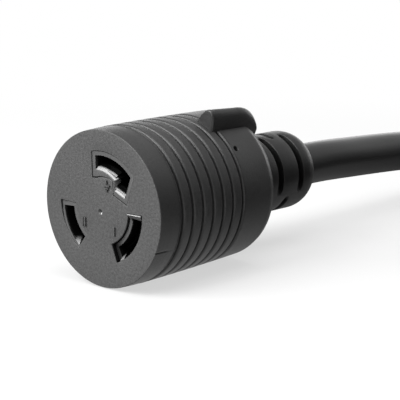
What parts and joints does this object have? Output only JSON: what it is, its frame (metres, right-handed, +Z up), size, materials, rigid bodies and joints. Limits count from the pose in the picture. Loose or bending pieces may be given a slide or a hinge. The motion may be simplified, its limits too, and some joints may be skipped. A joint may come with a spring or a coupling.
{
  "type": "shore power cord",
  "caption": "Moulded locking power connector with curved blade slots, grip grooves and a thumb rib, on a round flexible cable that is coiled and ends in a matching plug.",
  "frame": {"origin": "on the surface below the middle of the connector", "axes": "+X from the connector's slotted face towards its cable, +Z up"},
  "size_m": [0.2807, 0.269, 0.0809],
  "materials": {
    "moulded_pvc": "satin moulded PVC",
    "carrier_nylon": "matte moulded nylon",
    "brass": "stamped",
    "copper": "stranded, bright",
    "cable_jacket": "smooth satin",
    "wire_green": "extruded",
    "wire_black": "extruded",
    "wire_white": "extruded"
  },
  "bodies": {
    "root": {"connector_body": "moulded_pvc", "contact_carrier": "carrier_nylon", "carrier_cap": "carrier_nylon", "contact_g": "brass", "contact_x": "brass", "contact_y": "brass", "connector_strands": "copper", "connector_wire_g": "wire_green", "connector_wire_x": "wire_black", "connector_wire_y": "wire_white", "connector_jacket_end": "cable_jacket", "cord_lead": "cable_jacket", "cord_coil": "cable_jacket", "cord_tail": "cable_jacket", "plug_body": "moulded_pvc", "blade_carrier": "carrier_nylon", "blade_g": "brass", "blade_x": "brass", "blade_y": "brass", "plug_strands": "copper", "plug_wire_g": "wire_green", "plug_wire_x": "wire_black", "plug_wire_y": "wire_white", "plug_jacket_end": "cable_jacket"}
  },
  "joints": []
}
